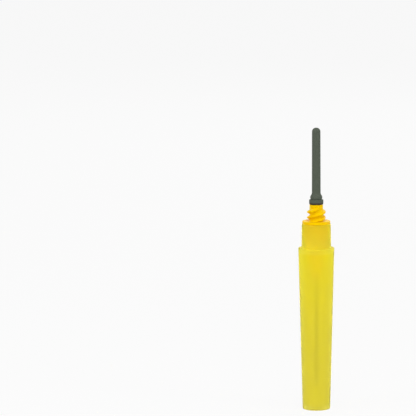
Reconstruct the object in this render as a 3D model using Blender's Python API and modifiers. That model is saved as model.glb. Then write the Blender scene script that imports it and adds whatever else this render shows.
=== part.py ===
# A double-ended blood collection needle, standing on the closed end of its front shield.
# The needle's axis is Z, and the shield's closed end rests at Z = 0. All lengths are in metres.

import math

import bmesh
import bpy
from mathutils import Matrix, Vector

# Cannula: one steel tube, ground to a point at both ends
CANNULA_DIAMETER = 0.0009
CANNULA_WALL = 0.00015
CANNULA_FRONT_LENGTH = 0.038
CANNULA_REAR_LENGTH = 0.0203
FRONT_BEVEL_DEGREES = 14.0
REAR_BEVEL_DEGREES = 24.0
LANCET_DEGREES = 22.0
LANCET_TURN_DEGREES = 42.0

# Hub: nose, ribbed grip, flange, thread, neck and sleeve boss
NOSE_LENGTH = 0.010
NOSE_TIP_WALL = 0.0008
NOSE_SHOULDER = 0.0008
GRIP_LENGTH = 0.0084
RIB_COUNT = 16
RIB_HEIGHT = 0.0005
RIB_WIDTH = 0.0007
RIB_LEAD_IN = 0.001
FLANGE_INSET = 0.00016
FLANGE_THICKNESS = 0.00095
FLANGE_ROUND = 0.0002
THREAD_ROOT_DIAMETER = 0.0046
THREAD_DEPTH = 0.0009
THREAD_LEAD = 0.0038
THREAD_STARTS = 2
THREAD_HEIGHT = 0.0044
THREAD_BASE_WIDTH = 0.0015
THREAD_CREST_WIDTH = 0.00035
THREAD_SEAT_MARGIN = 0.00015
THREAD_SEAT_STEP = 0.00005
THREAD_ENTRY_DEGREES = 70.7
THREAD_RUNOUT_DEGREES = 55.0
HUB_NECK_LENGTH = 0.0012
BOSS_DIAMETER = 0.0027
BOSS_LENGTH = 0.003
WELL_DIAMETER = 0.0021
WELL_DEPTH = 0.003

# Adhesive bead in the well of the nose
MENISCUS_DEPTH = 0.0003

# Front shield: a tapered cup with a shoulder and a narrower neck
SHIELD_END_WALL = 0.0012
TIP_CLEARANCE = 0.00615
SHIELD_FOOT_DIAMETER = 0.0094
SHIELD_FOOT_WALL = 0.001
SHIELD_FOOT_ROUND = 0.00055
SHIELD_RIM_DIAMETER = 0.00985
SHIELD_NECK_WALL = 0.00082
SHIELD_NECK_LENGTH = 0.0081
SHIELD_NECK_DRAFT = 0.0001
SHIELD_LEDGE = 0.00111
SHIELD_LEDGE_ROUND = 0.00025
SHIELD_RIM_ROUND = 0.0003

# Rubber sleeve: a closed tube with a flared socket and a base ring
SLEEVE_TUBE_WALL = 0.00069
SLEEVE_TUBE_DRAFT = 0.00006
SLEEVE_FLARE_WALL = 0.0006
SLEEVE_FLARE_LENGTH = 0.00255
SLEEVE_FLARE_SLOPE = 0.001
SLEEVE_RING_LIP = 0.00038
SLEEVE_RING_HEIGHT = 0.0014
SLEEVE_RING_BEVEL = 0.0003
SLEEVE_TIP_WALL = 0.002
SLEEVE_TIP_ROUND = 0.0013

# Clearances between pieces
SEAT_GAP = 0.0002
GRIP_CLEARANCE = 0.00012
BOND_CLEARANCE = 0.0001
SOCKET_CLEARANCE = 0.0001
SLEEVE_BORE_CLEARANCE = 0.00035
SLEEVE_POINT_CLEARANCE = 0.001

# Mesh fineness, and how deep a joined form is sunk into what carries it
ROUND_STEPS = 48
FINE_STEPS = 24
ARC_PIECE = 0.0002
FEWEST_ARC_STEPS = 2
MOST_ARC_STEPS = 7
ARC_EDGE_SHARE = 0.49
EDGE_ROUND = 0.0001
SINK = 0.0004
SLIVER = 0.00002
MERGE_DISTANCE = 0.000001

# Heights, counted up from the shield's closed end
front_point = SHIELD_END_WALL + TIP_CLEARANCE
nose_tip = front_point + CANNULA_FRONT_LENGTH
grip_bottom = nose_tip + NOSE_LENGTH
shield_rim = grip_bottom + GRIP_LENGTH
shield_shoulder = shield_rim - SHIELD_NECK_LENGTH
flange_bottom = shield_rim + SEAT_GAP
flange_top = flange_bottom + FLANGE_THICKNESS
flange_middle = flange_bottom + FLANGE_THICKNESS / 2
sleeve_seat = flange_top + THREAD_HEIGHT + HUB_NECK_LENGTH
sleeve_bottom = sleeve_seat + SEAT_GAP
boss_top = sleeve_seat + BOSS_LENGTH
rear_point = boss_top + CANNULA_REAR_LENGTH
sleeve_bore_end = rear_point + SLEEVE_POINT_CLEARANCE
sleeve_tip = sleeve_bore_end + SLEEVE_TIP_WALL

# Radii
cannula_radius = CANNULA_DIAMETER / 2
hub_bore_radius = cannula_radius + BOND_CLEARANCE
well_radius = WELL_DIAMETER / 2
thread_root_radius = THREAD_ROOT_DIAMETER / 2
thread_crest_radius = thread_root_radius + THREAD_DEPTH
holder_seat_radius = thread_crest_radius + THREAD_SEAT_MARGIN
thread_foot = flange_top - THREAD_SEAT_STEP
boss_radius = BOSS_DIAMETER / 2
rim_radius = SHIELD_RIM_DIAMETER / 2
mouth_radius = rim_radius - SHIELD_NECK_WALL
neck_root_radius = rim_radius + SHIELD_NECK_DRAFT
foot_radius = SHIELD_FOOT_DIAMETER / 2
foot_bore_radius = foot_radius - SHIELD_FOOT_WALL
flange_radius = rim_radius - FLANGE_INSET
socket_radius = boss_radius + SOCKET_CLEARANCE
flare_radius = socket_radius + SLEEVE_FLARE_WALL
ring_radius = flare_radius + SLEEVE_RING_LIP
sleeve_bore_radius = cannula_radius + SLEEVE_BORE_CLEARANCE
tube_root_radius = sleeve_bore_radius + SLEEVE_TUBE_WALL
tube_tip_radius = tube_root_radius - SLEEVE_TUBE_DRAFT


def shield_bore_radius(height):
    """The radius of the shield's tapered bore at a height, from its floor to its mouth."""
    share = (height - SHIELD_END_WALL) / (shield_rim - SHIELD_END_WALL)
    return foot_bore_radius + (mouth_radius - foot_bore_radius) * share


rib_radius = shield_bore_radius(grip_bottom) - GRIP_CLEARANCE
grip_core_radius = rib_radius - RIB_HEIGHT


def clear_scene():
    """Removes whatever objects the file opens with."""
    for item in list(bpy.data.objects):
        bpy.data.objects.remove(item, do_unlink=True)


def make_collection(name):
    """A new collection in the scene."""
    collection = bpy.data.collections.new(name)
    bpy.context.scene.collection.children.link(collection)
    return collection


def make_material(name, color, roughness, metallic=0.0, transmission=0.0):
    """A Principled material with its main values."""
    material = bpy.data.materials.new(name)
    material.use_nodes = True
    material.diffuse_color = (*color, 1.0)
    shader = material.node_tree.nodes["Principled BSDF"]
    shader.inputs["Base Color"].default_value = (*color, 1.0)
    shader.inputs["Roughness"].default_value = roughness
    shader.inputs["Metallic"].default_value = metallic
    shader.inputs["Transmission Weight"].default_value = transmission
    return material


def make_axis(name, height, collection, parent=None):
    """An empty on the needle's axis, which carries the pieces that move together."""
    axis = bpy.data.objects.new(name, None)
    axis.empty_display_size = rim_radius
    collection.objects.link(axis)
    place(axis, height, parent)
    return axis


def place(item, height, parent=None):
    """Puts an object on the needle's axis at a height, under its parent if it has one."""
    item.parent = parent
    item.location.z = height - (parent.matrix_world.translation.z if parent else 0.0)
    bpy.context.view_layer.update()


def arc_share(other):
    """The share of an edge that an arc may take, by the corner at the edge's other end."""
    return ARC_EDGE_SHARE if other[2] else 2 * ARC_EDGE_SHARE


def rounded(corners, closed):
    """The points of an outline in the plane of radius and height.

    Each corner is (radius, height, round), and a corner with a round becomes an arc that touches both
    of its edges. An arc takes less than half of an edge, or nearly all of one whose other corner is sharp,
    and a longer arc has more steps.
    """
    points = []
    count = len(corners)
    for index, (radius, height, rounding) in enumerate(corners):
        corner = Vector((radius, height))
        at_end = not closed and index in (0, count - 1)
        if rounding == 0 or at_end:
            points.append(corner)
            continue
        last, following = corners[index - 1], corners[(index + 1) % count]
        before = Vector(last[:2]) - corner
        after = Vector(following[:2]) - corner
        half_angle = before.angle(after) / 2
        edge_limit = min(before.length * arc_share(last), after.length * arc_share(following))
        reach = min(rounding / math.tan(half_angle), edge_limit)
        arc_radius = reach * math.tan(half_angle)
        middle = (before.normalized() + after.normalized()).normalized()
        centre = corner + middle * (arc_radius / math.sin(half_angle))
        start = corner + before.normalized() * reach - centre
        end = corner + after.normalized() * reach - centre
        turn = start.angle_signed(end)
        arc_steps = math.ceil(abs(turn) * arc_radius / ARC_PIECE)
        arc_steps = min(MOST_ARC_STEPS, max(FEWEST_ARC_STEPS, arc_steps))
        for step in range(arc_steps + 1):
            points.append(centre + Matrix.Rotation(-turn * step / arc_steps, 2) @ start)
    return points


def turned(name, corners, datum, collection, closed=False, steps=ROUND_STEPS):
    """A piece turned about Z by a Screw modifier, with its outline counted from a datum height."""
    points = rounded(corners, closed)
    edges = [(index, index + 1) for index in range(len(points) - 1)]
    if closed:
        edges.append((len(points) - 1, 0))
    mesh = bpy.data.meshes.new(name)
    mesh.from_pydata([(point.x, 0.0, point.y - datum) for point in points], edges, [])
    item = bpy.data.objects.new(name, mesh)
    collection.objects.link(item)
    screw = item.modifiers.new("turn", "SCREW")
    screw.axis = "Z"
    screw.angle = math.tau
    screw.steps = steps
    screw.render_steps = steps
    screw.use_merge_vertices = True
    screw.merge_threshold = MERGE_DISTANCE
    screw.use_smooth_shade = True
    return item


def even_shading(item):
    """Lets the large faces lead the shading beside the small rounds."""
    weighted = item.modifiers.new("even shading", "WEIGHTED_NORMAL")
    weighted.keep_sharp = True


def make_cutter(cutter):
    """Marks an object as a guide for a Boolean, which isn't a piece itself."""
    cutter.hide_render = True
    cutter.display_type = "WIRE"


def combine(item, cutter, operation):
    """Joins or cuts a piece by another object."""
    boolean = item.modifiers.new(cutter.name, "BOOLEAN")
    boolean.operation = operation
    boolean.solver = "EXACT"
    boolean.object = cutter


def mesh_object(name, shape, collection):
    """An object from a bmesh, with its faces turned outwards."""
    bmesh.ops.recalc_face_normals(shape, faces=shape.faces)
    mesh = bpy.data.meshes.new(name)
    shape.to_mesh(mesh)
    shape.free()
    item = bpy.data.objects.new(name, mesh)
    collection.objects.link(item)
    return item


def make_shield(material, collection):
    """The front shield: a cup that tapers to its closed end, with a neck above its shoulder."""
    corners = [
        (0.0, SHIELD_END_WALL, 0.0),
        (foot_bore_radius, SHIELD_END_WALL, SHIELD_FOOT_ROUND),
        (mouth_radius, shield_rim, EDGE_ROUND),
        (rim_radius, shield_rim, SHIELD_RIM_ROUND),
        (neck_root_radius, shield_shoulder, EDGE_ROUND),
        (neck_root_radius + SHIELD_LEDGE, shield_shoulder, SHIELD_LEDGE_ROUND),
        (foot_radius, 0.0, SHIELD_FOOT_ROUND),
        (0.0, 0.0, 0.0),
    ]
    shield = turned("needle_shield", corners, 0.0, collection)
    even_shading(shield)
    shield.data.materials.append(material)
    return shield


def thread_section(turn_angle, end_angle):
    """One section of a thread ridge: its four corners as (radius, height) pairs.

    The ridge rises out of the flange, and it sinks into the core over the run-out at its end.
    """
    left = (end_angle - turn_angle) / math.radians(THREAD_RUNOUT_DEGREES)
    fullness = min(1.0, max(0.0, left))
    fullness = fullness * fullness * (3 - 2 * fullness)
    crest_radius = thread_root_radius + THREAD_DEPTH * fullness - SINK / 2 * (1 - fullness)
    inner_radius = thread_root_radius - SINK
    slope = (THREAD_BASE_WIDTH - THREAD_CREST_WIDTH) / 2 / THREAD_DEPTH
    crest_half = THREAD_CREST_WIDTH / 2
    base_half = crest_half + slope * (crest_radius - inner_radius)
    crest_height = flange_top + THREAD_LEAD * turn_angle / math.tau
    floor = flange_middle
    return [
        (inner_radius, max(crest_height - base_half, floor)),
        (crest_radius, max(crest_height - crest_half, floor)),
        (crest_radius, max(crest_height + crest_half, floor + SLIVER)),
        (inner_radius, max(crest_height + base_half, floor + 2 * SLIVER)),
    ]


def make_thread_ridge(start_index, collection, parent):
    """One helical ridge of the thread, lofted through its sections and capped at both ends.

    A section stands midway between each two edge lines of the core, so that the two meet cleanly.
    """
    end_angle = math.tau * THREAD_HEIGHT / THREAD_LEAD
    entry = math.radians(THREAD_ENTRY_DEGREES) + math.tau * start_index / THREAD_STARTS
    step_angle = math.tau / ROUND_STEPS
    first = math.floor((entry - math.pi * THREAD_BASE_WIDTH / THREAD_LEAD) / step_angle)
    last = math.ceil((entry + end_angle) / step_angle)
    ridge = bmesh.new()
    rings = []
    for step in range(first, last + 1):
        angle = (step + 0.5) * step_angle
        direction = Vector((math.cos(angle), math.sin(angle), 0.0))
        rings.append([
            ridge.verts.new(direction * radius + Vector((0.0, 0.0, height - flange_bottom)))
            for radius, height in thread_section(angle - entry, end_angle)
        ])
    for ring, following in zip(rings, rings[1:]):
        for side in range(len(ring)):
            beside = (side + 1) % len(ring)
            ridge.faces.new((ring[side], ring[beside], following[beside], following[side]))
    ridge.faces.new(rings[0])
    ridge.faces.new(rings[-1])
    item = mesh_object(f"thread_ridge_{start_index + 1}", ridge, collection)
    item.data.shade_smooth()
    make_cutter(item)
    place(item, flange_bottom, parent)
    return item


def make_grip_ribs(collection, parent):
    """The grip's ribs, one block each, with the lower end of each block sloped to lead it in."""
    ribs = bmesh.new()
    low = grip_bottom + EDGE_ROUND - flange_bottom
    high = flange_middle - flange_bottom
    inner = grip_core_radius - SINK
    for index in range(RIB_COUNT):
        turn = Matrix.Rotation(math.tau * index / RIB_COUNT, 4, "Z")
        middle = Matrix.Translation(((inner + rib_radius) / 2, 0.0, (low + high) / 2))
        size = Matrix.Diagonal((rib_radius - inner, RIB_WIDTH, high - low, 1.0))
        block = bmesh.ops.create_cube(ribs, size=1.0, matrix=middle @ size)
        for vert in block["verts"]:
            if vert.co.z < middle.translation.z and vert.co.x > middle.translation.x:
                vert.co.z += RIB_LEAD_IN
        bmesh.ops.transform(ribs, matrix=turn, verts=block["verts"])
    item = mesh_object("grip_ribs", ribs, collection)
    make_cutter(item)
    place(item, flange_bottom, parent)
    return item


def make_hub(material, collection, cutters, parent):
    """The hub: a turned core with the grip's ribs and the thread's ridges joined to it.

    A tube holder seats on the flange's top outside the thread's crests, and the flange is a hair lower
    inside that ring.
    """
    nose_root_radius = grip_core_radius - NOSE_SHOULDER
    nose_tip_radius = well_radius + NOSE_TIP_WALL
    well_top = nose_tip + WELL_DEPTH
    corners = [
        (hub_bore_radius, boss_top, 0.0),
        (boss_radius, boss_top, EDGE_ROUND),
        (boss_radius, sleeve_seat, EDGE_ROUND),
        (thread_root_radius, sleeve_seat, EDGE_ROUND),
        (thread_root_radius, thread_foot, EDGE_ROUND),
        (holder_seat_radius, thread_foot, 0.0),
        (holder_seat_radius, flange_top, 0.0),
        (flange_radius, flange_top, FLANGE_ROUND),
        (flange_radius, flange_bottom, FLANGE_ROUND / 2),
        (grip_core_radius, flange_bottom, EDGE_ROUND),
        (grip_core_radius, grip_bottom, EDGE_ROUND),
        (nose_root_radius, grip_bottom, EDGE_ROUND),
        (nose_tip_radius, nose_tip, FLANGE_ROUND),
        (well_radius, nose_tip, EDGE_ROUND),
        (well_radius, well_top, 0.0),
        (hub_bore_radius, well_top, 0.0),
    ]
    hub = turned("needle_hub", corners, flange_bottom, collection, closed=True)
    combine(hub, make_grip_ribs(cutters, parent), "UNION")
    for start_index in range(THREAD_STARTS):
        combine(hub, make_thread_ridge(start_index, cutters, parent), "UNION")
    even_shading(hub)
    hub.data.materials.append(material)
    place(hub, flange_bottom, parent)
    return hub


def make_grind(name, point_height, towards, bevel_degrees, turn_degrees, collection, parent):
    """A block that grinds one flat on an end of the cannula.

    Its working face passes through the point, turned about it, and towards is 1 for the upper end.
    The block reaches well past the flat on every side.
    """
    flat_length = CANNULA_DIAMETER / math.sin(math.radians(bevel_degrees))
    size = 4 * flat_length
    block = bmesh.new()
    bmesh.ops.create_cube(block, size=size)
    bmesh.ops.translate(block, verts=block.verts, vec=(0.0, -size / 2, 0.0))
    lean = Matrix.Rotation(-towards * math.radians(bevel_degrees), 4, "X")
    edge = Matrix.Translation((0.0, cannula_radius, 0.0))
    turn = Matrix.Rotation(math.radians(turn_degrees), 4, "Z")
    bmesh.ops.transform(block, matrix=edge @ turn @ lean, verts=block.verts)
    item = mesh_object(name, block, collection)
    make_cutter(item)
    place(item, point_height, parent)
    return item


def make_cannula(material, collection, cutters, parent):
    """The cannula: a straight tube with a long bevel in front, two lancet flats, and a short rear bevel."""
    bore_radius = cannula_radius - CANNULA_WALL
    corners = [
        (bore_radius, rear_point + SLIVER, 0.0),
        (cannula_radius, rear_point + SLIVER, 0.0),
        (cannula_radius, front_point - 2 * SLIVER, 0.0),
        (bore_radius, front_point - 2 * SLIVER, 0.0),
    ]
    cannula = turned("cannula", corners, flange_bottom, collection, closed=True, steps=FINE_STEPS)
    grinds = [
        ("front_bevel", front_point, -1, FRONT_BEVEL_DEGREES, 0.0),
        ("lancet_left", front_point - SLIVER, -1, LANCET_DEGREES, -LANCET_TURN_DEGREES),
        ("lancet_right", front_point - SLIVER, -1, LANCET_DEGREES, LANCET_TURN_DEGREES),
        ("rear_bevel", rear_point, 1, REAR_BEVEL_DEGREES, 0.0),
    ]
    for name, height, towards, bevel, turn in grinds:
        combine(cannula, make_grind(name, height, towards, bevel, turn, cutters, parent), "DIFFERENCE")
    cannula.data.materials.append(material)
    place(cannula, flange_bottom, parent)
    return cannula


def make_adhesive(material, collection, parent):
    """The adhesive bead round the cannula in the nose's well, with its free face dished."""
    inner = cannula_radius + BOND_CLEARANCE
    outer = well_radius - BOND_CLEARANCE
    top = nose_tip + WELL_DEPTH - BOND_CLEARANCE
    corners = [
        (inner, top, 0.0),
        (outer, top, 0.0),
        (outer, nose_tip + EDGE_ROUND, 0.0),
        ((inner + outer) / 2, nose_tip + MENISCUS_DEPTH, 0.0),
        (inner, nose_tip + EDGE_ROUND, 0.0),
    ]
    adhesive = turned("cannula_adhesive", corners, flange_bottom, collection, closed=True, steps=FINE_STEPS)
    adhesive.data.materials.append(material)
    place(adhesive, flange_bottom, parent)
    return adhesive


def make_sleeve(material, collection, parent):
    """The rubber sleeve: base ring, flared socket over the hub's boss, and a closed tube."""
    ring_top = sleeve_bottom + SLEEVE_RING_HEIGHT
    crease = ring_top + SLEEVE_RING_BEVEL
    flare_top = sleeve_bottom + SLEEVE_FLARE_LENGTH
    tube_root = flare_top + SLEEVE_FLARE_SLOPE
    socket_top = boss_top + SOCKET_CLEARANCE
    corners = [
        (0.0, sleeve_tip, 0.0),
        (tube_tip_radius, sleeve_tip, SLEEVE_TIP_ROUND),
        (tube_root_radius, tube_root, SLEEVE_FLARE_SLOPE),
        (flare_radius, flare_top, SLEEVE_FLARE_SLOPE / 2),
        (flare_radius, crease, 0.0),
        (ring_radius, ring_top, EDGE_ROUND),
        (ring_radius - EDGE_ROUND / 2, sleeve_bottom, EDGE_ROUND),
        (socket_radius, sleeve_bottom, EDGE_ROUND),
        (socket_radius, socket_top, 0.0),
        (sleeve_bore_radius, socket_top + socket_radius - sleeve_bore_radius, 0.0),
        (sleeve_bore_radius, sleeve_bore_end, EDGE_ROUND),
        (0.0, sleeve_bore_end, 0.0),
    ]
    sleeve = turned("rubber_sleeve", corners, sleeve_bottom, collection)
    even_shading(sleeve)
    sleeve.data.materials.append(material)
    place(sleeve, sleeve_bottom, parent)
    return sleeve


def main():
    """Builds the whole needle."""
    clear_scene()
    pieces = make_collection("blood_collection_needle")
    cutters = make_collection("cutters")
    shield_plastic = make_material("shield_plastic", (0.72, 0.56, 0.05), 0.45, transmission=0.3)
    hub_plastic = make_material("hub_plastic", (0.83, 0.50, 0.01), 0.3)
    steel = make_material("steel", (0.62, 0.62, 0.6), 0.25, metallic=1.0)
    epoxy = make_material("epoxy", (0.75, 0.70, 0.55), 0.15, transmission=0.6)
    rubber = make_material("rubber", (0.095, 0.112, 0.088), 0.7)
    needle_axis = make_axis("needle_axis", flange_bottom, pieces)
    sleeve_axis = make_axis("sleeve_axis", sleeve_bottom, pieces, needle_axis)
    make_shield(shield_plastic, pieces)
    make_hub(hub_plastic, pieces, cutters, needle_axis)
    make_cannula(steel, pieces, cutters, needle_axis)
    make_adhesive(epoxy, pieces, needle_axis)
    make_sleeve(rubber, pieces, sleeve_axis)


main()
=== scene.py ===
# Dresses the frame of a double-ended blood collection needle: a frosted shield, a hub with its thread and
# ribs, a steel cannula in its adhesive, and a rubber sleeve, in plain studio light. Lengths are in metres.

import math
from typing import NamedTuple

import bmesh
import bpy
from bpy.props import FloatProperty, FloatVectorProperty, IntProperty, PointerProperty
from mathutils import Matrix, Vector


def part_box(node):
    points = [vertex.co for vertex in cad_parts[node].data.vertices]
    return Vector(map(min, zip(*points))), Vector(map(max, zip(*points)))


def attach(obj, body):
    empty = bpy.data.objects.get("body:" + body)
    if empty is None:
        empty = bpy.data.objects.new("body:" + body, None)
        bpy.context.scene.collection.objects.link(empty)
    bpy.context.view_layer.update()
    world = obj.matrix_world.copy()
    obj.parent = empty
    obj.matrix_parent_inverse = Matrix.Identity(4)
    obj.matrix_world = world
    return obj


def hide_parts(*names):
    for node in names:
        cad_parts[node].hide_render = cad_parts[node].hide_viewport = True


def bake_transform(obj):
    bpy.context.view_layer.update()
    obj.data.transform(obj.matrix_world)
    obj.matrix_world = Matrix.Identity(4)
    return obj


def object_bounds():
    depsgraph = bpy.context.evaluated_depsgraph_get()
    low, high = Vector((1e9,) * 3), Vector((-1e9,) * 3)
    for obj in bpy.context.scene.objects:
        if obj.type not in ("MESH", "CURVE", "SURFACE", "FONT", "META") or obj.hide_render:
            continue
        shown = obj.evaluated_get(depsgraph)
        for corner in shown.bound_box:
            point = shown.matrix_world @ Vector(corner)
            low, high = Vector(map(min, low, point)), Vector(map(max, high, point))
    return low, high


bl_info = {
    "name": "Blood Collection Needle",
    "version": (1, 0, 0),
    "blender": (4, 5, 0),
    "location": "3D View > Sidebar > Needle",
    "description": "Builds a double-ended needle with its shield, hub, cannula and rubber sleeve",
    "category": "Object",
}

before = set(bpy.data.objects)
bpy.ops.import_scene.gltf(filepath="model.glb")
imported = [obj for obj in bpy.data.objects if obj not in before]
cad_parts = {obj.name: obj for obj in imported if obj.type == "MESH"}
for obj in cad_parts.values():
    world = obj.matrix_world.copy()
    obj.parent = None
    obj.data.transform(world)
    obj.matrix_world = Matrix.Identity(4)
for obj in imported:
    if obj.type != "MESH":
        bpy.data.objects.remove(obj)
cad_low, cad_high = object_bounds()

# Where the frame's pieces are
shield_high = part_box("needle_shield")[1]
hub_low, hub_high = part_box("needle_hub")
cannula_low, cannula_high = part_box("cannula")
adhesive_low, adhesive_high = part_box("cannula_adhesive")
sleeve_low, sleeve_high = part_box("rubber_sleeve")

# Mesh fineness: sides about the axis, steps of an arc, its share of an edge between arcs, and the
# longest pieces of a run
SHIELD_SIDES = 160
HUB_SIDES = 256
CANNULA_SIDES = 64
BEAD_SIDES = 64
SLEEVE_SIDES = 128
ARC_STEP_DEGREES = 11.0
ARC_EDGE_SHARE = 0.49
LONG_PIECE = 0.05
BORE_PIECE = 0.0032
WALL_PIECE = 0.0008
RIB_PIECE = 0.00025
THREAD_PIECE = 0.00006

# How near points merge, a hair's breadth, and the angle from which an edge is sharp
MERGE_DISTANCE = 0.000001
HAIR = 0.00002
SHARP_DEGREES = 38.0

# Rounds of moulded edges, and the fillet between the thread and the flange
FINE_ROUND = 0.00005
EDGE_ROUND = 0.0001
SOFT_ROUND = 0.0002
FOOT_FILLET = 0.0003

# How much higher the rim is than the frame's, because the real one touches the flange
RIM_LIFT = 0.00015

# Width of the step from the grip to the nose, and of the nose's wall at its tip
NOSE_SHOULDER = 0.0008
NOSE_TIP_WALL = 0.0008

# Depth of the dish in the adhesive's free face
BEAD_DISH = 0.0002

# Length of a block that grinds the cannula, in the cannula's radii
GRIND_BLOCK_RADII = 8

# As shares of a ridge's height: how deep it sinks as it runs out, and how softly its edges turn
RIDGE_SINK = 0.3
RIDGE_SOFTNESS = 0.3

# Height of the band under the ledge on which a highlight is painted as a paler colour, and by what share
LEDGE_HIGHLIGHT_BAND = 0.0022
LEDGE_HIGHLIGHT_SHARE = 0.5

# Powers of the colours' change up to the shield's shoulder and down to the nose's tip, and how far
# clouds shift the first
SHOULDER_FADE = 2.0
NOSE_FADE = 0.5
CLOUD_DRIFT = 0.12

# Height of the painted shade at the foot of the sleeve's ring, where it meets the hub
RING_FOOT_SHADE_HEIGHT = 0.0005

# Camera
LENS = 400.0
SENSOR_WIDTH = 36.0
CAMERA_ELEVATION_DEGREES = 8.5
CAMERA_ROLL_DEGREES = -0.24
FRAME_WIDTH = 0.1414
FRAME_CENTRE_X = -0.0368
FRAME_CENTRE_HEIGHT = 0.06943
NEAR_CLIP_SHARE = 0.01

# Studio: the light of the surroundings, how white the floor is to a camera, and the lamps, each with its
# name, place, size and power in watts
FLOOR_SIZE = 12.0
FLOOR_WHITENESS = 0.88
ROOM_LIGHT = 0.65
WHITE = (1.0, 1.0, 1.0, 1.0)
LAMPS = (
    ("left_lamp", (-0.6, -0.42, 0.3), 0.3, 1.55),
    ("right_lamp", (0.6, -0.42, 0.3), 0.3, 1.55),
    ("top_lamp", (0.0, -0.4, 0.8), 0.4, 1.95),
    ("back_lamp", (0.15, 0.75, 0.45), 0.5, 1.0),
)

# Spacing of nodes in the editor
NODE_SPACING = 180


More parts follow.
